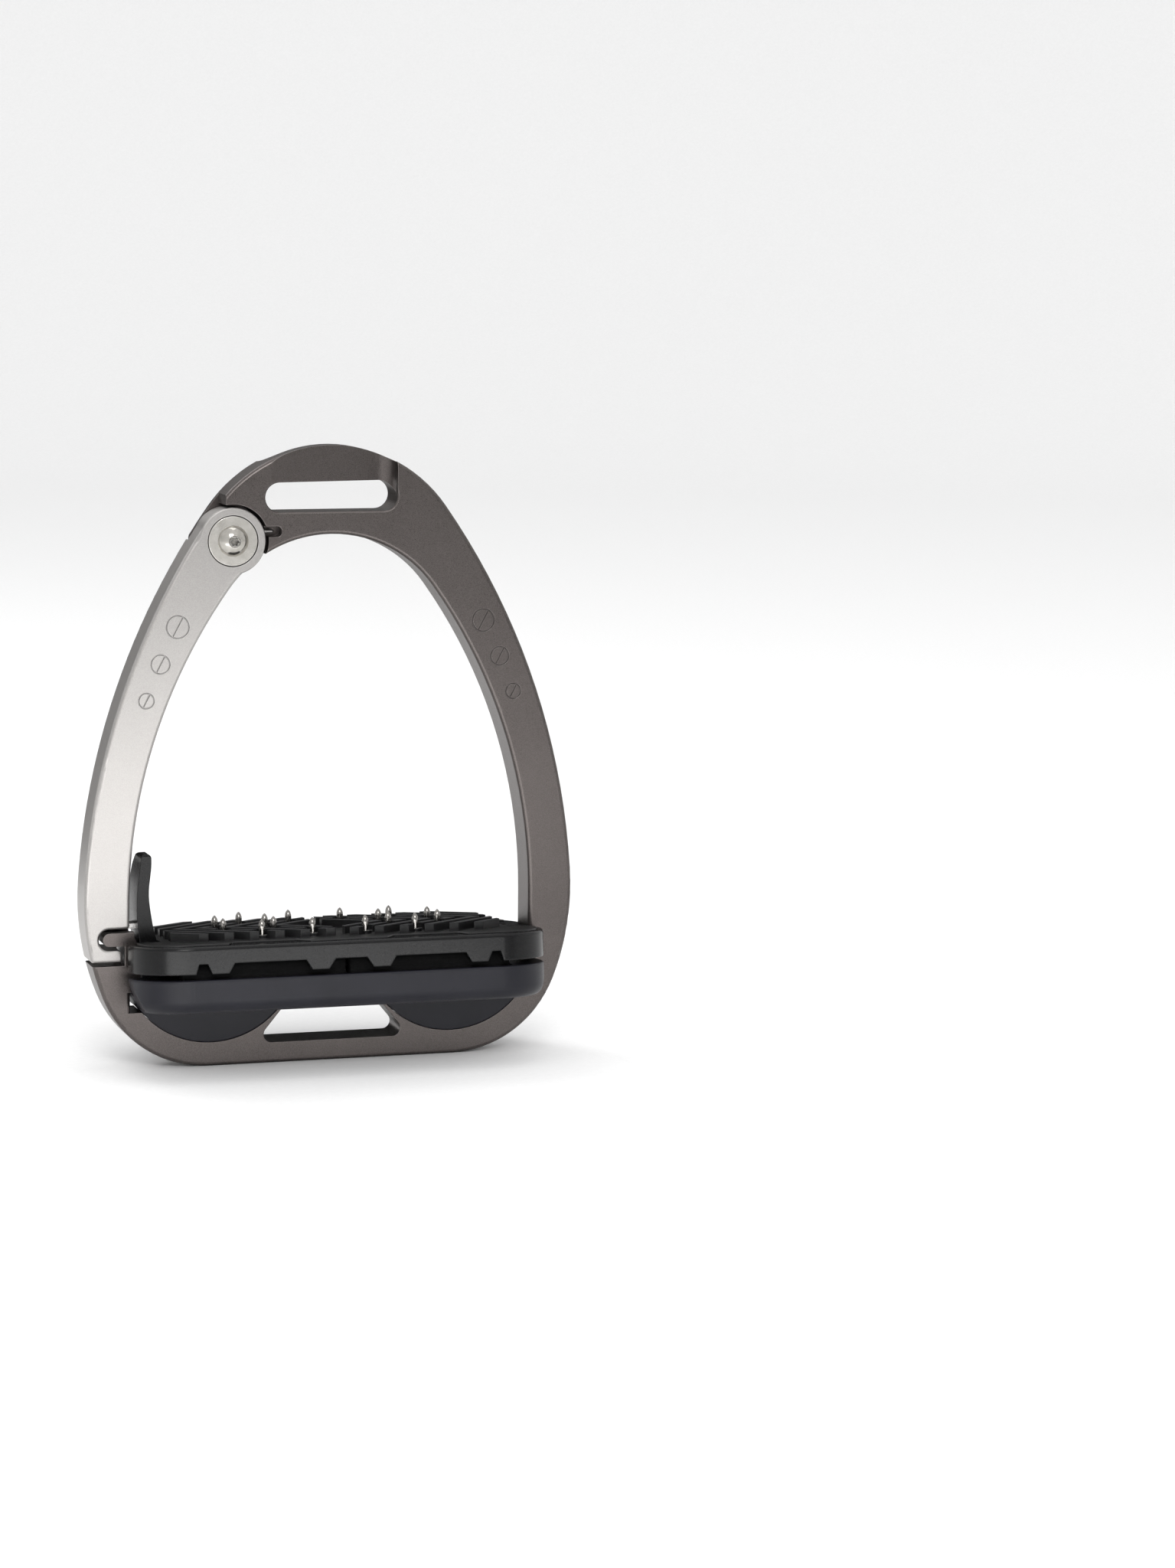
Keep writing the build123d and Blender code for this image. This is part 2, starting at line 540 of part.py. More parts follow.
def tread_tray():
    tray = Pos(0, 0, SKIRT_W) * extrude(tread_outline(), RIM_W - SKIRT_W)
    tray = fillet(tray.edges().group_by(Axis.Z)[-1], 1.0)
    tray -= Pos(0, 0, SKIRT_W - 1) * extrude(inner_outline(WALL), PLATE_W - SKIRT_W + 1)
    tray -= Pos(0, 0, PAD_FLOOR_W) * extrude(pad_outline(0.15), 9)
    tray -= skirt_arches()
    for u, v in bolt_places():
        tray += cylinder_up(u, v, 4.6, BOSS_BOTTOM_W, PLATE_W + 0.1)
        tray -= cylinder_up(u, v, 2.8, BOSS_BOTTOM_W - 1, PAD_FLOOR_W - 0.4)
    for side in (-1, 1):
        tray += cylinder_up(side * PAD_SCREW_U, PAD_SCREW_V, 3.4, SKIRT_W, PLATE_W + 0.1)
        tray -= cylinder_up(side * PAD_SCREW_U, PAD_SCREW_V, 2.1, SKIRT_W + 0.6, PAD_FLOOR_W + 1)
    tray = tip(tray)
    tray -= box_between((-80, -LEVER_NOTCH_HALF_Y, 20), (LEVER_NOTCH_X, LEVER_NOTCH_HALF_Y, 60))
    tray -= box_between((59.9, -NOTCH_HALF_Y, 20), (80, NOTCH_HALF_Y, 60))
    return tray


def insert(u, v, radius, hole_r, low, high):
    return cylinder_up(u, v, radius - 0.02, low, high) - cylinder_up(u, v, hole_r, low - 1, high + 1)


def tray_inserts():
    return tip(group(insert(u, v, 2.8, 2.02, BOSS_BOTTOM_W, PAD_FLOOR_W - 0.5) for u, v in bolt_places()))


def pad_inserts():
    return tip(group(insert(side * PAD_SCREW_U, PAD_SCREW_V, 2.1, 1.27, SKIRT_W + 0.7, PAD_FLOOR_W - 0.1)
                     for side in (-1, 1)))


def tread_bolt(u, v):
    """A shoulder bolt that hangs the tray on the housing and lets it sink on its cushions."""
    bolt = cylinder_up(u, v, 4.1, 0.6, BOLT_SEAT_W - 0.1)
    bolt -= Pos(u, v, 0) * extrude(hexagon(3.0), 2)
    bolt += cylinder_up(u, v, 2.5, BOLT_SEAT_W - 0.2, BOSS_BOTTOM_W - 0.05)
    bolt += cylinder_up(u, v, 2.0, BOSS_BOTTOM_W - 0.1, PAD_FLOOR_W - 0.8)
    return bolt


def tread_bolts():
    return tip(group(tread_bolt(u, v) for u, v in bolt_places()))


# ---------------------------------------------------------------- pad, ribs and studs

def chevron_arm(vertex_u, heel):
    """One straight arm of a chevron rib on the +u half, at 45 degrees to the rows."""
    half = RIB_WIDTH / math.sqrt(2)
    reach = 60
    sign = 1 if heel else -1
    return polygon((vertex_u + half, RIB_V), (vertex_u + half - reach, RIB_V + sign * reach),
                   (vertex_u - half - reach, RIB_V + sign * reach), (vertex_u - half, RIB_V))


def stud_places():
    places = []
    for rib in STUD_RIBS:
        for row in STUD_ROWS:
            u = RIB_FIRST_U + rib * RIB_PITCH_U - row
            places += [(su * u, RIB_V + sv * row) for su in (-1, 1) for sv in (-1, 1)]
    return places


def rib_faces():
    field = box_face(RIB_INNER_U, RIB_OUTER_U, RIB_FRONT_V, RIB_BACK_V)
    ribs = []
    for index in range(RIB_COUNT):
        vertex_u = RIB_FIRST_U + index * RIB_PITCH_U
        ribs.append((chevron_arm(vertex_u, True) + chevron_arm(vertex_u, False)) & field)
    right = Sketch() + ribs
    return right + mirror(right, about=Plane.YZ)


def tread_pad():
    pad = Pos(0, 0, PAD_FLOOR_W) * extrude(pad_outline(0), PAD_TOP_W - PAD_FLOOR_W)
    pad = fillet(pad.edges().group_by(Axis.Z)[-1], 0.4)
    pad += Pos(0, 0, PAD_TOP_W - 0.1) * extrude(rib_faces(), RIB_TOP_W - PAD_TOP_W + 0.1)
    for u, v in stud_places():
        pad += cylinder_up(u, v, 2.1, PAD_TOP_W - 0.1, PAD_TOP_W + 0.9)
        pad -= cylinder_up(u, v, 2.6, PAD_TOP_W + 0.9, RIB_TOP_W + 1)
        pad -= cylinder_up(u, v, 1.51, PAD_FLOOR_W + 0.5, RIB_TOP_W)
    for side in (-1, 1):
        pad -= cylinder_up(side * PAD_SCREW_U, PAD_SCREW_V, 2.9, PAD_SCREW_SEAT_W, 30)
        pad -= cylinder_up(side * PAD_SCREW_U, PAD_SCREW_V, 1.4, PAD_FLOOR_W - 1, 30)
    pad = tip(pad)
    return pad - box_between((-80, -LEVER_NOTCH_HALF_Y, 20), (LEVER_NOTCH_X, LEVER_NOTCH_HALF_Y, 60))


def grip_stud(u, v):
    """A steel stud pressed into the pad: a round shank that curves in to a small blunt point."""
    base = PAD_FLOOR_W + 0.6
    seat = PAD_TOP_W + 0.9
    shoulder = STUD_TIP_W - 1.9
    ogive = ThreePointArc((0.98, shoulder), (0.76, (shoulder + STUD_TIP_W) / 2 + 0.1), (0.16, STUD_TIP_W))
    sides = Polyline((0.16, STUD_TIP_W), (0, STUD_TIP_W), (0, base), (1.5, base), (1.5, seat - 0.2),
                     (1.3, seat), (0.98, seat), (0.98, shoulder))
    return Pos(u, v, 0) * revolve(Plane.XZ * make_face([ogive, sides]), Axis.Z)


def grip_studs():
    return tip(group(grip_stud(u, v) for u, v in stud_places()))


def pad_screw(side):
    screw = button_screw(2.3, 1.4, 1.25, 5.6, 1.7)
    return Pos(side * PAD_SCREW_U, PAD_SCREW_V, PAD_SCREW_SEAT_W) * screw


def pad_screws():
    return tip(group(pad_screw(side) for side in (-1, 1)))


# ---------------------------------------------------------------- release lever

def lever_profile():
    """Side of the lever: a slim S that stands up inside the arm."""
    left = Spline((-57.3, 36.5), (-58.0, 42), (-58.2, 50.3), (-57.3, 59), (-56.9, LEVER_TOP_Z),
                  tangents=((-0.1, 1), (0, 1)))
    right = Spline((-54.0, LEVER_TOP_Z), (-53.9, 60.5), (-54.7, 52.2), (-54.0, 45), (-52.6, 38.4),
                   tangents=((0.1, -1), (0.3, -1)))
    top = Line(left @ 1, right @ 0)
    foot = Line(right @ 1, (-53.2, 35.3))
    base = Line((-53.2, 35.3), left @ 0)
    face = make_face([left, top, right, foot, base])
    return fillet(face.vertices().sort_by(Axis.Y)[-2:], 1.3)


def lever_blank():
    blade = plate(lever_profile(), -LEVER_HALF_Y, LEVER_HALF_Y)
    side_view = box_face(-LEVER_HALF_Y, LEVER_HALF_Y, 30, LEVER_TOP_Z)
    heel_corner = side_view.vertices().sort_by_distance((LEVER_HALF_Y, LEVER_TOP_Z))[0]
    side_view = fillet(heel_corner, 7.6)
    toe_corner = side_view.vertices().sort_by_distance((-LEVER_HALF_Y, LEVER_TOP_Z))[0]
    side_view = fillet(toe_corner, 0.7)
    return blade & Pos(-70, 0, 0) * extrude(Plane.YZ * side_view, 30)


def latch_blade_profile():
    tooth_top = 44.0
    bar_top, bar_bottom = 42.7, 41.2
    return polygon((-65.4, bar_bottom), (-56.4, bar_bottom), (-56.4, bar_top), (-63.0, bar_top),
                   (-63.0, tooth_top), (-64.0, tooth_top), (-65.4, 42.4))


def latch_blade():
    return plate(latch_blade_profile(), -LATCH_GROOVE_Y + 0.5, LATCH_GROOVE_Y - 0.5)


def release_lever():
    lever = lever_blank()
    lever += y_cylinder(LEVER_PIVOT_X, LEVER_PIVOT_Z, LEVER_BARREL_R, -BARREL_HALF_Y, 4.5)
    lever += y_cylinder(LEVER_PIVOT_X, LEVER_PIVOT_Z, 1.95, 4.5, BARREL_HALF_Y)
    lever -= y_cylinder(LEVER_PIVOT_X, LEVER_PIVOT_Z, PIN_R + 0.05, -20, 20)
    lever -= plate(latch_blade_profile(), -LATCH_GROOVE_Y + 0.5, LATCH_GROOVE_Y - 0.5)
    return lever


def lever_pin():
    half = BARREL_HALF_Y + 0.3 + EAR_T
    return y_cylinder(LEVER_PIVOT_X, LEVER_PIVOT_Z, PIN_R, -half, half)


def lever_spring():
    coil = torsion_coil(LEVER_SPRING_R, LEVER_SPRING_WIRE_R, 0.68, 3.5, 1.5)
    coil = Pos(LEVER_PIVOT_X, 8.6, LEVER_PIVOT_Z) * Rot(90, 0, 0) * Rot(0, 0, 90) * coil
    return coil


# ---------------------------------------------------------------- write the parts

PARTS = {
    "main_frame": main_frame,
    "safety_arm": safety_arm,
    "hinge_cover_disc": hinge_cover_disc,
    "hinge_screw": hinge_screw,
    "hinge_bush": hinge_bush,
    "hinge_spring": hinge_spring,
    "tread_housing": tread_housing,
    "frame_screws": frame_screws,
    "left_cushion": lambda: cushion(-1),
    "right_cushion": lambda: cushion(1),
    "tread_tray": tread_tray,
    "tray_inserts": tray_inserts,
    "tread_bolts": tread_bolts,
    "pad_inserts": pad_inserts,
    "tread_pad": tread_pad,
    "grip_studs": grip_studs,
    "pad_screws": pad_screws,
    "release_lever": release_lever,
    "latch_blade": latch_blade,
    "lever_pin": lever_pin,
    "lever_spring": lever_spring,
}

os.makedirs("parts", exist_ok=True)
for name, build in PARTS.items():
    export_step(build(), f"parts/{name}.step")
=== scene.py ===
import math

import bpy
from mathutils import Matrix, Vector


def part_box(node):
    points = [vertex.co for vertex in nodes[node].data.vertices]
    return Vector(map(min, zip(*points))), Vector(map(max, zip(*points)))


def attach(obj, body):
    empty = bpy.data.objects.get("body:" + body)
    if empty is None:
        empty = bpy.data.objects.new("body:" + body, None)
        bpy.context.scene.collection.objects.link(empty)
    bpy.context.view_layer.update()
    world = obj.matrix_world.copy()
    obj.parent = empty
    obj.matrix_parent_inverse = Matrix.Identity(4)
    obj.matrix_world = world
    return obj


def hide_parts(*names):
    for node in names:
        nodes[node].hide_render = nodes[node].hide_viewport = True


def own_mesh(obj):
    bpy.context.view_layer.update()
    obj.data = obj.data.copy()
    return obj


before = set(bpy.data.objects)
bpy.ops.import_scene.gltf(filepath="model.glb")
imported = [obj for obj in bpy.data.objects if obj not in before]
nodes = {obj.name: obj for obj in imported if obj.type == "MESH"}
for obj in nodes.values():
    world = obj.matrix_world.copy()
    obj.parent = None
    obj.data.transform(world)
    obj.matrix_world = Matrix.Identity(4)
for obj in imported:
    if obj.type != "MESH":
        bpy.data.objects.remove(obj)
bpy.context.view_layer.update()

# Satin metals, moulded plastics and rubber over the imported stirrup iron. Metres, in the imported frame:
# X across the foot, Y from toe to heel, Z up. The tread is tipped toe-up by TILT about X.
TILT = math.radians(5.0)
TREAD_PIVOT_Z = 0.0175
TREAD_UP = Vector((0.0, math.sin(TILT), math.cos(TILT)))
RIB_W = 0.0221                      # just under the ribs' tops, above the tread's own datum
SHADE_GAP_REACH = 0.0012                # gaps up to about this wide get painted shade
EDGE_LEAN = 0.12                    # how far a normal leans before an edge gets its full edge tone: painted highlight, and on anodised parts also wear
CUSHION_VOXEL = 0.0008
CUSHION_SWELL, CUSHION_GROOVE = 0.00035, 0.0005
CUSHION_GROOVES_AT, CUSHION_GROOVE_SPREAD = (0.36, 0.68), 0.05     # shares of the cushion's height
UPRIGHT = 0.6                       # level share of a normal above which a face counts as a side
disc_low, disc_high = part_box("hinge_cover_disc")
HINGE = (disc_low + disc_high) / 2


# ---------------------------------------------------------------- node helpers

class Finish:
    """A Principled material whose textures all start from the object's own coordinates."""

    def __init__(self, name, metallic, roughness):
        self.mat = bpy.data.materials.new(name)
        self.mat.use_nodes = True
        self.tree = self.mat.node_tree
        self.shader = self.tree.nodes["Principled BSDF"]
        self.shader.inputs["Metallic"].default_value = metallic
        self.shader.inputs["Roughness"].default_value = roughness
        self.coords = self.add("ShaderNodeTexCoord").outputs["Object"]

    def add(self, kind, **inputs):
        node = self.tree.nodes.new(kind)
        for key, value in inputs.items():
            node.inputs[key.replace("_", " ")].default_value = value
        return node

    def link(self, source, target):
        self.tree.links.new(source, target)

    def noise(self, size, detail=3.0, coords=None, roughness=0.55):
        """Noise with features of about this size, in metres."""
        node = self.add("ShaderNodeTexNoise", Scale=1.0 / size, Detail=detail, Roughness=roughness)
        self.link(coords or self.coords, node.inputs["Vector"])
        return node.outputs["Fac"]

    def spread(self, value, low, high, to_low, to_high):
        node = self.add("ShaderNodeMapRange", From_Min=low, From_Max=high, To_Min=to_low, To_Max=to_high)
        self.link(value, node.inputs["Value"])
        return node.outputs["Result"]

    def math(self, operation, first, second):
        node = self.add("ShaderNodeMath")
        node.operation = operation
        for socket, value in zip(node.inputs, (first, second)):
            if isinstance(value, (int, float)):
                socket.default_value = value
            else:
                self.link(value, socket)
        return node.outputs[0]

    def mix(self, factor, first, second):
        node = self.add("ShaderNodeMix")
        node.data_type = "RGBA"
        self.link(factor, node.inputs["Factor"])
        for socket, value in ((node.inputs[6], first), (node.inputs[7], second)):
            if isinstance(value, tuple):
                socket.default_value = (*value, 1.0)
            else:
                self.link(value, socket)
        return node.outputs[2]

    def rounded(self, radius):
        """Normals that round off sharp edges by this radius, in metres."""
        node = self.add("ShaderNodeBevel", Radius=radius)
        node.samples = 6
        return node.outputs["Normal"]

    def edges(self, radius):
        """1 along edges, 0 on flats: how far the rounded normal leans from the true one; drives the painted
        edge highlights.
        """
        lean = self.add("ShaderNodeVectorMath")
        lean.operation = "DOT_PRODUCT"
        self.link(self.rounded(radius), lean.inputs[0])
        self.link(self.add("ShaderNodeNewGeometry").outputs["Normal"], lean.inputs[1])
        return self.spread(lean.outputs["Value"], 1.0 - EDGE_LEAN, 0.995, 1.0, 0.0)

    def painted_gap_shade(self, reach):
        """Painted shade mask: 1 deep in gaps and engraved lines, 0 on open faces: how much a point is closed
        in.
        """
        node = self.add("ShaderNodeAmbientOcclusion", Distance=reach)
        node.samples = 8
        return self.spread(node.outputs["AO"], 0.25, 0.8, 1.0, 0.0)

    def scratches(self, size, stretch, amount):
        """Thin, sparse marks: stretched noise cut to its peaks."""
        mapping = self.add("ShaderNodeMapping", Scale=stretch, Rotation=(0.3, 0.5, 0.2))
        self.link(self.coords, mapping.inputs["Vector"])
        return self.spread(self.noise(size, 4.0, mapping.outputs["Vector"]), 1.0 - amount, 1.0, 0.0, 1.0)

    def colour(self, value):
        self.link(value, self.shader.inputs["Base Color"])

    def rough(self, value):
        self.link(value, self.shader.inputs["Roughness"])

    def bump(self, height, depth, strength=1.0, under=None):
        node = self.add("ShaderNodeBump", Strength=strength, Distance=depth)
        self.link(height, node.inputs["Height"])
        if under is not None:
            self.link(under, node.inputs["Normal"])
        self.link(node.outputs["Normal"], self.shader.inputs["Normal"])


# ---------------------------------------------------------------- finishes

def anodised(name, dark, light, edge_wear_and_highlight, roughness):
    """Bead-blasted and anodised aluminium: a fine sparkle, slow colour drift, edges brighter as partly
    rubbed wear and partly painted highlight, and painted shade in gaps.
    """
    finish = Finish(name, 0.92, roughness)
    blast = finish.noise(0.00022, 2.0)
    cloud = finish.noise(0.03, 3.0)
    tone = finish.spread(finish.math("ADD", finish.math("MULTIPLY", blast, 0.8),
                                     finish.math("MULTIPLY", cloud, 0.2)), 0.36, 0.64, 0.0, 1.0)
    base = finish.mix(tone, dark, light)
    # edges lightened towards the worn tone: partly rubbed wear, partly painted highlight
    wear_and_edge_highlight = finish.math("MULTIPLY", finish.edges(0.00035), finish.spread(cloud, 0.4, 0.62, 0.1, 0.6))
    # painted shade: closed-in gaps and engraved lines darkened towards near black
    gap_shade = finish.math("MULTIPLY", finish.painted_gap_shade(SHADE_GAP_REACH), 0.9)
    finish.colour(finish.mix(gap_shade, finish.mix(wear_and_edge_highlight, base, edge_wear_and_highlight), (0.012, 0.011, 0.011)))
    finish.rough(finish.spread(blast, 0.3, 0.7, roughness - 0.05, roughness + 0.08))
    finish.bump(blast, 0.00003, 0.6, under=finish.rounded(0.0003))
    return finish.mat


def plastic(name, dark, light, roughness, grain, depth, level=0.3):
    """Moulded plastic with a spark-eroded texture, faint scuffs and a painted highlight lifting the tone on
    its edges.
    """
    finish = Finish(name, 0.0, roughness)
    finish.shader.inputs["Specular IOR Level"].default_value = level
    texture = finish.noise(grain, 3.0)
    cloud = finish.noise(0.022, 3.0)
    base = finish.mix(finish.spread(cloud, 0.35, 0.65, 0.0, 1.0), dark, light)
    scuffs = finish.math("MULTIPLY", finish.scratches(0.004, (1.0, 9.0, 5.0), 0.3), 0.3)
    scuff_and_highlight_tone = tuple(min(1.0, 2.0 * channel + 0.006) for channel in light)
    # paler tone from real scuffs combined with a painted highlight along the edges
    scuffs_and_edge_highlight = finish.math("MAXIMUM", scuffs, finish.math("MULTIPLY", finish.edges(0.0004), 0.5))
    finish.colour(finish.mix(scuffs_and_edge_highlight, base, scuff_and_highlight_tone))
    finish.rough(finish.spread(texture, 0.3, 0.7, roughness - 0.06, roughness + 0.1))
    finish.bump(texture, depth, 0.6, under=finish.rounded(0.0005))
    return finish.mat


def pad_plastic():
    """The tread pad: smooth valleys with a fine grain, and gritty tops on the ribs painted paler, partly for
    their grit and partly as a painted sheen.
    """
    finish = Finish("pad_plastic", 0.0, 0.46)
    finish.shader.inputs["Specular IOR Level"].default_value = 0.32
    height = finish.add("ShaderNodeVectorMath")
    height.operation = "DOT_PRODUCT"
    finish.link(finish.coords, height.inputs[0])
    height.inputs[1].default_value = TREAD_UP
    w = finish.math("SUBTRACT", height.outputs["Value"], TREAD_PIVOT_Z * math.cos(TILT))
    top = finish.spread(w, RIB_W, RIB_W + 0.0002, 0.0, 1.0)
    grit = finish.noise(0.00032, 4.0, roughness=0.7)
    fine = finish.noise(0.00014, 2.0)
    cloud = finish.noise(0.02, 3.0)
    valley = finish.mix(finish.spread(cloud, 0.35, 0.65, 0.0, 1.0),
                        (0.0035, 0.0035, 0.0038), (0.0065, 0.0065, 0.007))
    # rib tops paler: partly gritty texture, partly painted sheen
    grit_and_sheen_crest = finish.mix(finish.spread(grit, 0.42, 0.6, 0.0, 1.0), (0.007, 0.007, 0.0075), (0.03, 0.03, 0.032))
    finish.colour(finish.mix(top, valley, grit_and_sheen_crest))
    finish.rough(finish.spread(top, 0.0, 1.0, 0.4, 0.58))
    relief = finish.math("ADD", finish.math("MULTIPLY", fine, 0.25), finish.math("MULTIPLY", grit, top))
    finish.bump(relief, 0.00009, 0.6, under=finish.rounded(0.0003))
    return finish.mat


def turned_steel(name, axis_at, roughness, dark, light):
    """Stainless steel with the fine circular marks of the lathe around an axis along Y."""
    finish = Finish(name, 1.0, roughness)
    place = finish.add("ShaderNodeMapping", Location=tuple(-c for c in axis_at))
    finish.link(finish.coords, place.inputs["Vector"])
    rings = finish.add("ShaderNodeTexWave", Scale=1500.0, Distortion=1.4, Detail=2.0)
    rings.wave_type = "RINGS"
    rings.rings_direction = "Y"
    finish.link(place.outputs["Vector"], rings.inputs["Vector"])
    mark = rings.outputs["Fac"]
    cloud = finish.noise(0.0025, 3.0)
    base = finish.mix(finish.spread(cloud, 0.35, 0.65, 0.0, 1.0), dark, light)
    # painted shade: closed-in gaps darkened towards near black
    gap_shade = finish.math("MULTIPLY", finish.painted_gap_shade(SHADE_GAP_REACH), 0.85)
    # painted highlight along every edge
    edge_highlighted = finish.mix(finish.edges(0.0002), base, (0.78, 0.77, 0.75))
    finish.colour(finish.mix(gap_shade, edge_highlighted, (0.02, 0.019, 0.018)))
    finish.rough(finish.spread(mark, 0.0, 1.0, roughness - 0.05, roughness + 0.07))
    finish.bump(mark, 0.000006, 0.4, under=finish.rounded(0.00015))
    return finish.mat


def plain_steel(name, dark, light, roughness, grain=0.0004):
    """Small steel parts: tumbled, with a soft mottling and a painted highlight along the edges."""
    finish = Finish(name, 1.0, roughness)
    tumble = finish.noise(grain, 3.0)
    base = finish.mix(finish.spread(tumble, 0.35, 0.65, 0.0, 1.0), dark, light)
    # painted highlight: edges brightened above the base tone
    finish.colour(finish.mix(finish.edges(0.00015), base, tuple(min(1.0, 1.25 * c) for c in light)))
    finish.rough(finish.spread(tumble, 0.3, 0.7, roughness - 0.06, roughness + 0.1))
    finish.bump(tumble, 0.00002, 0.4, under=finish.rounded(0.00012))
    return finish.mat


def elastomer():
    finish = Finish("elastomer_black", 0.0, 0.72)
    finish.shader.inputs["Specular IOR Level"].default_value = 0.12
    skin = finish.noise(0.0006, 4.0)
    cloud = finish.noise(0.01, 2.0)
    finish.colour(finish.mix(finish.spread(cloud, 0.3, 0.7, 0.0, 1.0),
                             (0.0012, 0.0012, 0.0013), (0.0025, 0.0025, 0.0027)))
    finish.rough(finish.spread(skin, 0.3, 0.7, 0.64, 0.82))
    finish.bump(skin, 0.00005, 0.5)
    return finish.mat


def studio_floor():
    finish = Finish("studio_floor", 0.0, 0.8)
    grain = finish.noise(0.002, 3.0)
    finish.colour(finish.mix(finish.spread(grain, 0.3, 0.7, 0.0, 1.0),
                             (0.89, 0.89, 0.89), (0.92, 0.92, 0.92)))
    return finish.mat


gunmetal = anodised("anodised_gunmetal", (0.086, 0.0755, 0.072), (0.128, 0.114, 0.109),
                    (0.34, 0.312, 0.3), 0.32)
silver = anodised("anodised_silver", (0.345, 0.332, 0.322), (0.43, 0.416, 0.403),
                  (0.6, 0.588, 0.572), 0.36)
housing_black = plastic("housing_plastic", (0.0052, 0.0052, 0.009), (0.0085, 0.0085, 0.0135),
                        0.4, 0.00022, 0.00003)
tray_black = plastic("tray_plastic", (0.002, 0.002, 0.0023), (0.0038, 0.0038, 0.0042),
                     0.22, 0.00018, 0.00001, 0.27)
lever_black = plastic("lever_plastic", (0.003, 0.003, 0.0032), (0.005, 0.005, 0.0053),
                      0.26, 0.0002, 0.000012, 0.22)
hinge_steel = turned_steel("hinge_turned_steel", HINGE, 0.25, (0.55, 0.53, 0.49), (0.68, 0.66, 0.62))
screw_steel = turned_steel("hinge_screw_steel", HINGE, 0.13, (0.4, 0.385, 0.35), (0.52, 0.5, 0.465))
stud_steel = plain_steel("stud_steel", (0.22, 0.21, 0.2), (0.34, 0.328, 0.31), 0.18)
bolt_steel = plain_steel("bolt_steel", (0.42, 0.41, 0.4), (0.58, 0.57, 0.56), 0.3)
wire_steel = plain_steel("wire_steel", (0.16, 0.155, 0.15), (0.26, 0.25, 0.245), 0.34, 0.0002)
brass = plain_steel("brass", (0.6, 0.42, 0.17), (0.74, 0.55, 0.25), 0.3)
rubber = elastomer()

MATERIALS = {
    "main_frame": gunmetal,
    "safety_arm": silver,
    "hinge_cover_disc": hinge_steel,
    "hinge_screw": screw_steel,
    "hinge_bush": brass,
    "hinge_spring": wire_steel,
    "tread_housing": housing_black,
    "frame_screws": bolt_steel,
    "tread_tray": tray_black,
    "tray_inserts": brass,
    "tread_bolts": bolt_steel,
    "pad_inserts": brass,
    "tread_pad": pad_plastic(),
    "grip_studs": stud_steel,
    "pad_screws": bolt_steel,
    "release_lever": lever_black,
    "latch_blade": bolt_steel,
    "lever_pin": bolt_steel,
    "lever_spring": wire_steel,
}

for node_name, mat in MATERIALS.items():
    for material_slot in nodes[node_name].material_slots:
        material_slot.material = mat


# ---------------------------------------------------------------- elastomer cushions

def cushion(side):
    """A moulded rubber block: the hard solid with softened edges and sides that swell under load."""
    source = nodes[f"{side}_cushion"]
    block = bpy.data.objects.new(f"{side}_elastomer_cushion", source.data.copy())
    bpy.context.collection.objects.link(block)
    bpy.context.view_layer.objects.active = block
    remesh = block.modifiers.new("remesh", "REMESH")
    remesh.mode = "VOXEL"
    remesh.voxel_size = CUSHION_VOXEL
    remesh.use_smooth_shade = True
    smooth = block.modifiers.new("soften", "SMOOTH")
    smooth.factor = 0.5
    smooth.iterations = 3
    for modifier in list(block.modifiers):
        bpy.ops.object.modifier_apply(modifier=modifier.name)
    swell(block.data)
    block.data.materials.clear()
    block.data.materials.append(rubber)
    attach(block, "frame")
    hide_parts(f"{side}_cushion")
    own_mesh(block)


def swell(mesh):
    """Push the upright sides out a little, most at half height, with two shallow grooves around."""
    heights = [v.co.dot(TREAD_UP) for v in mesh.vertices]
    low, high = min(heights), max(heights)
    for vertex, height in zip(mesh.vertices, heights):
        normal = vertex.normal - TREAD_UP * vertex.normal.dot(TREAD_UP)
        if normal.length < UPRIGHT:
            continue
        share = (height - low) / (high - low)
        crown = CUSHION_SWELL * (1.0 - (2.0 * share - 1.0) ** 2)
        groove = CUSHION_GROOVE * sum(math.exp(-((share - at) / CUSHION_GROOVE_SPREAD) ** 2)
                                      for at in CUSHION_GROOVES_AT)
        vertex.co += normal.normalized() * (crown - groove)


cushion("left")
cushion("right")


# ---------------------------------------------------------------- floor, light and camera

def studio_bowl():
    """A flat round floor that sweeps up into a low wall, the same from every side."""
    floor_r, sweep_r, wall = 2.4, 0.7, 0.7
    sweep_steps, around = 12, 96
    profile = [(0.4, 0.0), (1.2, 0.0), (floor_r, 0.0)]
    for step in range(1, sweep_steps + 1):
        angle = math.radians(90.0 * step / sweep_steps)
        profile.append((floor_r + sweep_r * math.sin(angle), sweep_r * (1.0 - math.cos(angle))))
    profile.append((floor_r + sweep_r, sweep_r + wall))
    vertices = [(r * math.cos(2 * math.pi * i / around), r * math.sin(2 * math.pi * i / around), z)
                for r, z in profile for i in range(around)]
    faces = [tuple(range(around))]
    for ring in range(len(profile) - 1):
        inner, outer = ring * around, (ring + 1) * around
        for i in range(around):
            j = (i + 1) % around
            faces.append((inner + i, outer + i, outer + j, inner + j))
    mesh = bpy.data.meshes.new("studio_floor")
    mesh.from_pydata(vertices, [], faces)
    mesh.polygons.foreach_set("use_smooth", [True] * len(mesh.polygons))
    floor = bpy.data.objects.new("studio_floor", mesh)
    bpy.context.collection.objects.link(floor)
    floor.data.materials.append(studio_floor())


def softbox(name, at, target, size, energy):
    light = bpy.data.lights.new(name, "AREA")
    light.shape = "RECTANGLE"
    light.size, light.size_y = size
    light.energy = energy
    lamp = bpy.data.objects.new(name, light)
    bpy.context.collection.objects.link(lamp)
    lamp.location = at
    lamp.visible_camera = False
    lamp.rotation_euler = (Vector(target) - Vector(at)).to_track_quat("-Z", "Y").to_euler()


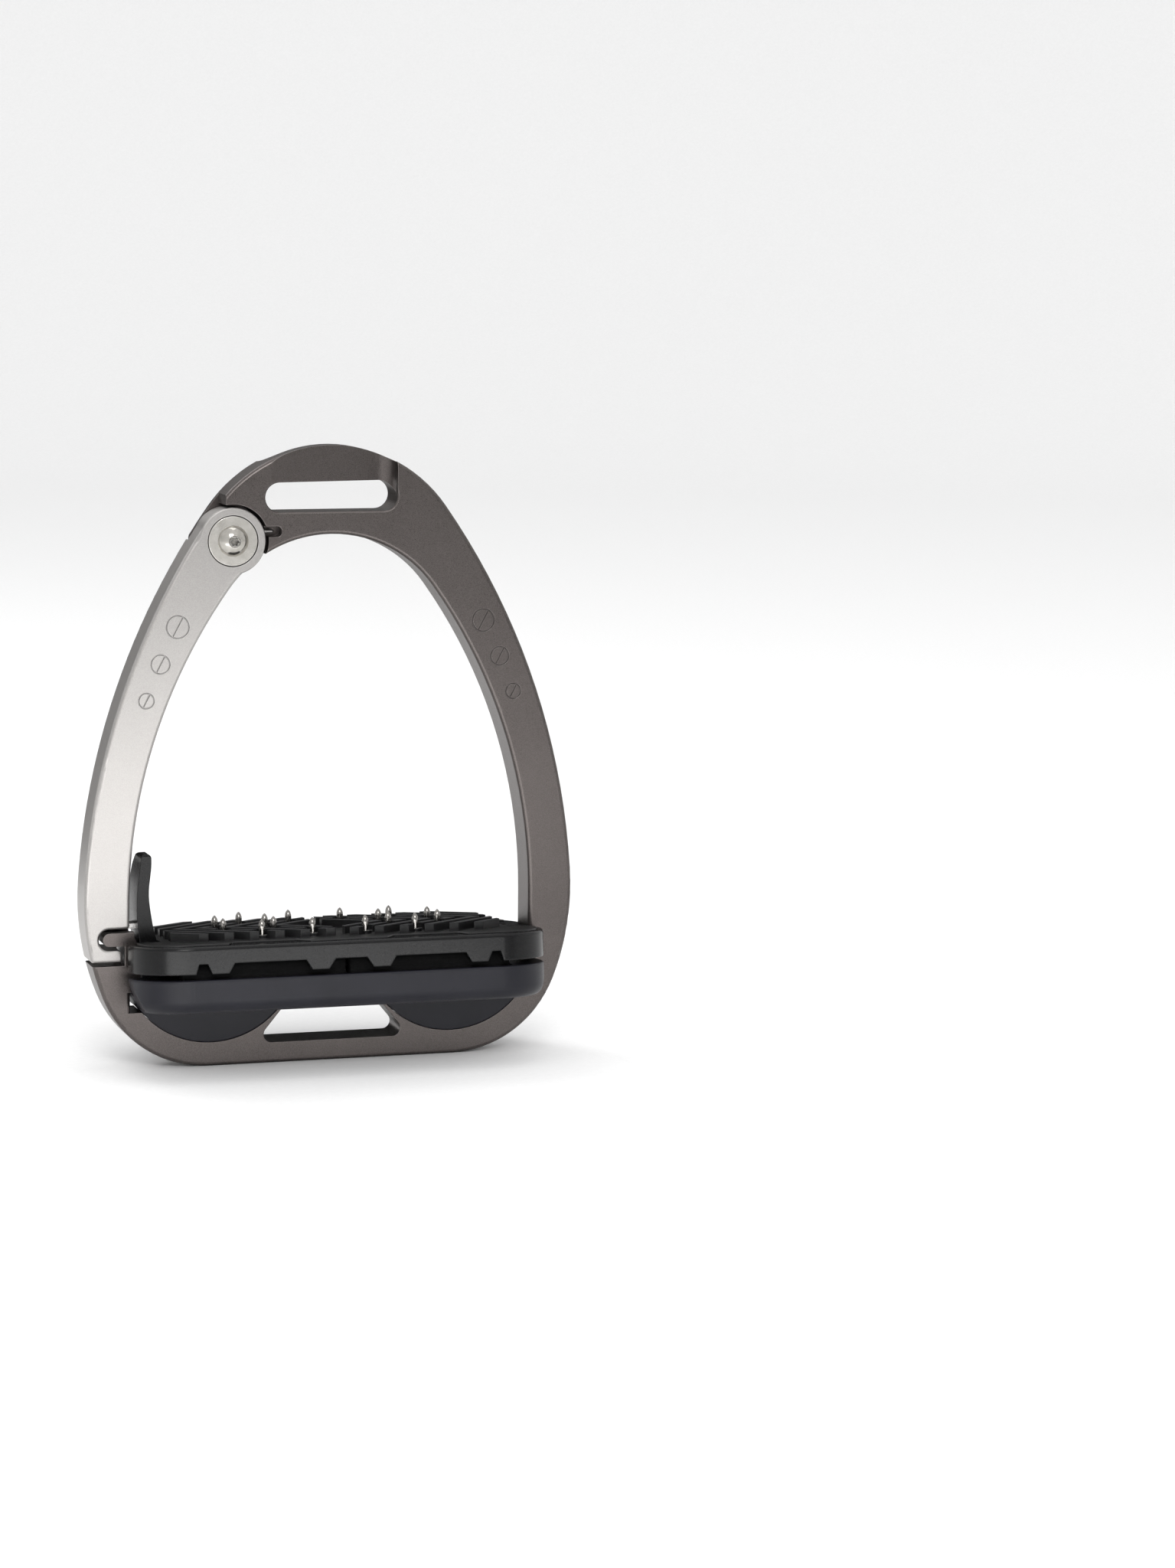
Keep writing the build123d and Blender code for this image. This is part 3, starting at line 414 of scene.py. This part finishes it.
def flag(name, corners):
    """A black card that only reflections see: it darkens the metal's sides as it would in a studio."""
    mesh = bpy.data.meshes.new(name)
    mesh.from_pydata(corners, [], [(0, 1, 2, 3)])
    card = bpy.data.objects.new(name, mesh)
    bpy.context.collection.objects.link(card)
    finish = Finish(name + "_cloth", 0.0, 0.95)
    finish.colour(finish.mix(finish.noise(0.004), (0.01, 0.01, 0.01), (0.02, 0.02, 0.02)))
    mesh.materials.append(finish.mat)
    card.visible_camera = False
    card.visible_shadow = False
    card.visible_diffuse = False


def studio_light():
    world = bpy.data.worlds.new("studio")
    bpy.context.scene.world = world
    world.use_nodes = True
    background = world.node_tree.nodes["Background"]
    background.inputs["Color"].default_value = (1.0, 1.0, 1.0, 1.0)
    background.inputs["Strength"].default_value = 0.95
    middle = (0.0, 0.0, 0.08)
    softbox("key", (-0.3, -1.5, 1.2), middle, (0.7, 0.7), 12.0)
    softbox("back_strip", (-0.5, 0.9, 1.0), middle, (0.4, 0.9), 3.5)
    softbox("top", (0.1, 0.1, 1.6), middle, (0.8, 0.6), 2.5)
    softbox("floor_fill", (-0.08, -0.3, 0.02), (-0.02, 0.0, 0.02), (0.45, 0.06), 0.38)
    flag("back_flag", [(-0.26, 0.45, 0.0), (0.3, 0.5, 0.0), (0.3, 0.5, 0.35), (-0.26, 0.45, 0.35)])
    flag("front_flag", [(-0.1, -1.5, 0.02), (1.1, -1.3, 0.02), (1.1, -1.3, 0.45), (-0.1, -1.5, 0.45)])


def camera():
    """About 1.3 m away, a little to the left and just above the iron's top, on a long lens."""
    data = bpy.data.cameras.new("camera")
    data.sensor_width = 36.0
    data.lens = 99.88
    data.clip_end = 50.0
    heading, pitch, roll = math.radians(-17.605), math.radians(82.187), math.radians(0.462)
    eye = bpy.data.objects.new("camera", data)
    bpy.context.collection.objects.link(eye)
    turn = Matrix.Rotation(heading, 4, "Z") @ Matrix.Rotation(pitch, 4, "X") @ Matrix.Rotation(roll, 4, "Z")
    eye.matrix_world = Matrix.Translation((-0.31026, -1.23095, 0.25581)) @ turn
    bpy.context.scene.camera = eye


studio_bowl()
studio_light()
camera()
bpy.context.scene.view_settings.view_transform = "Standard"
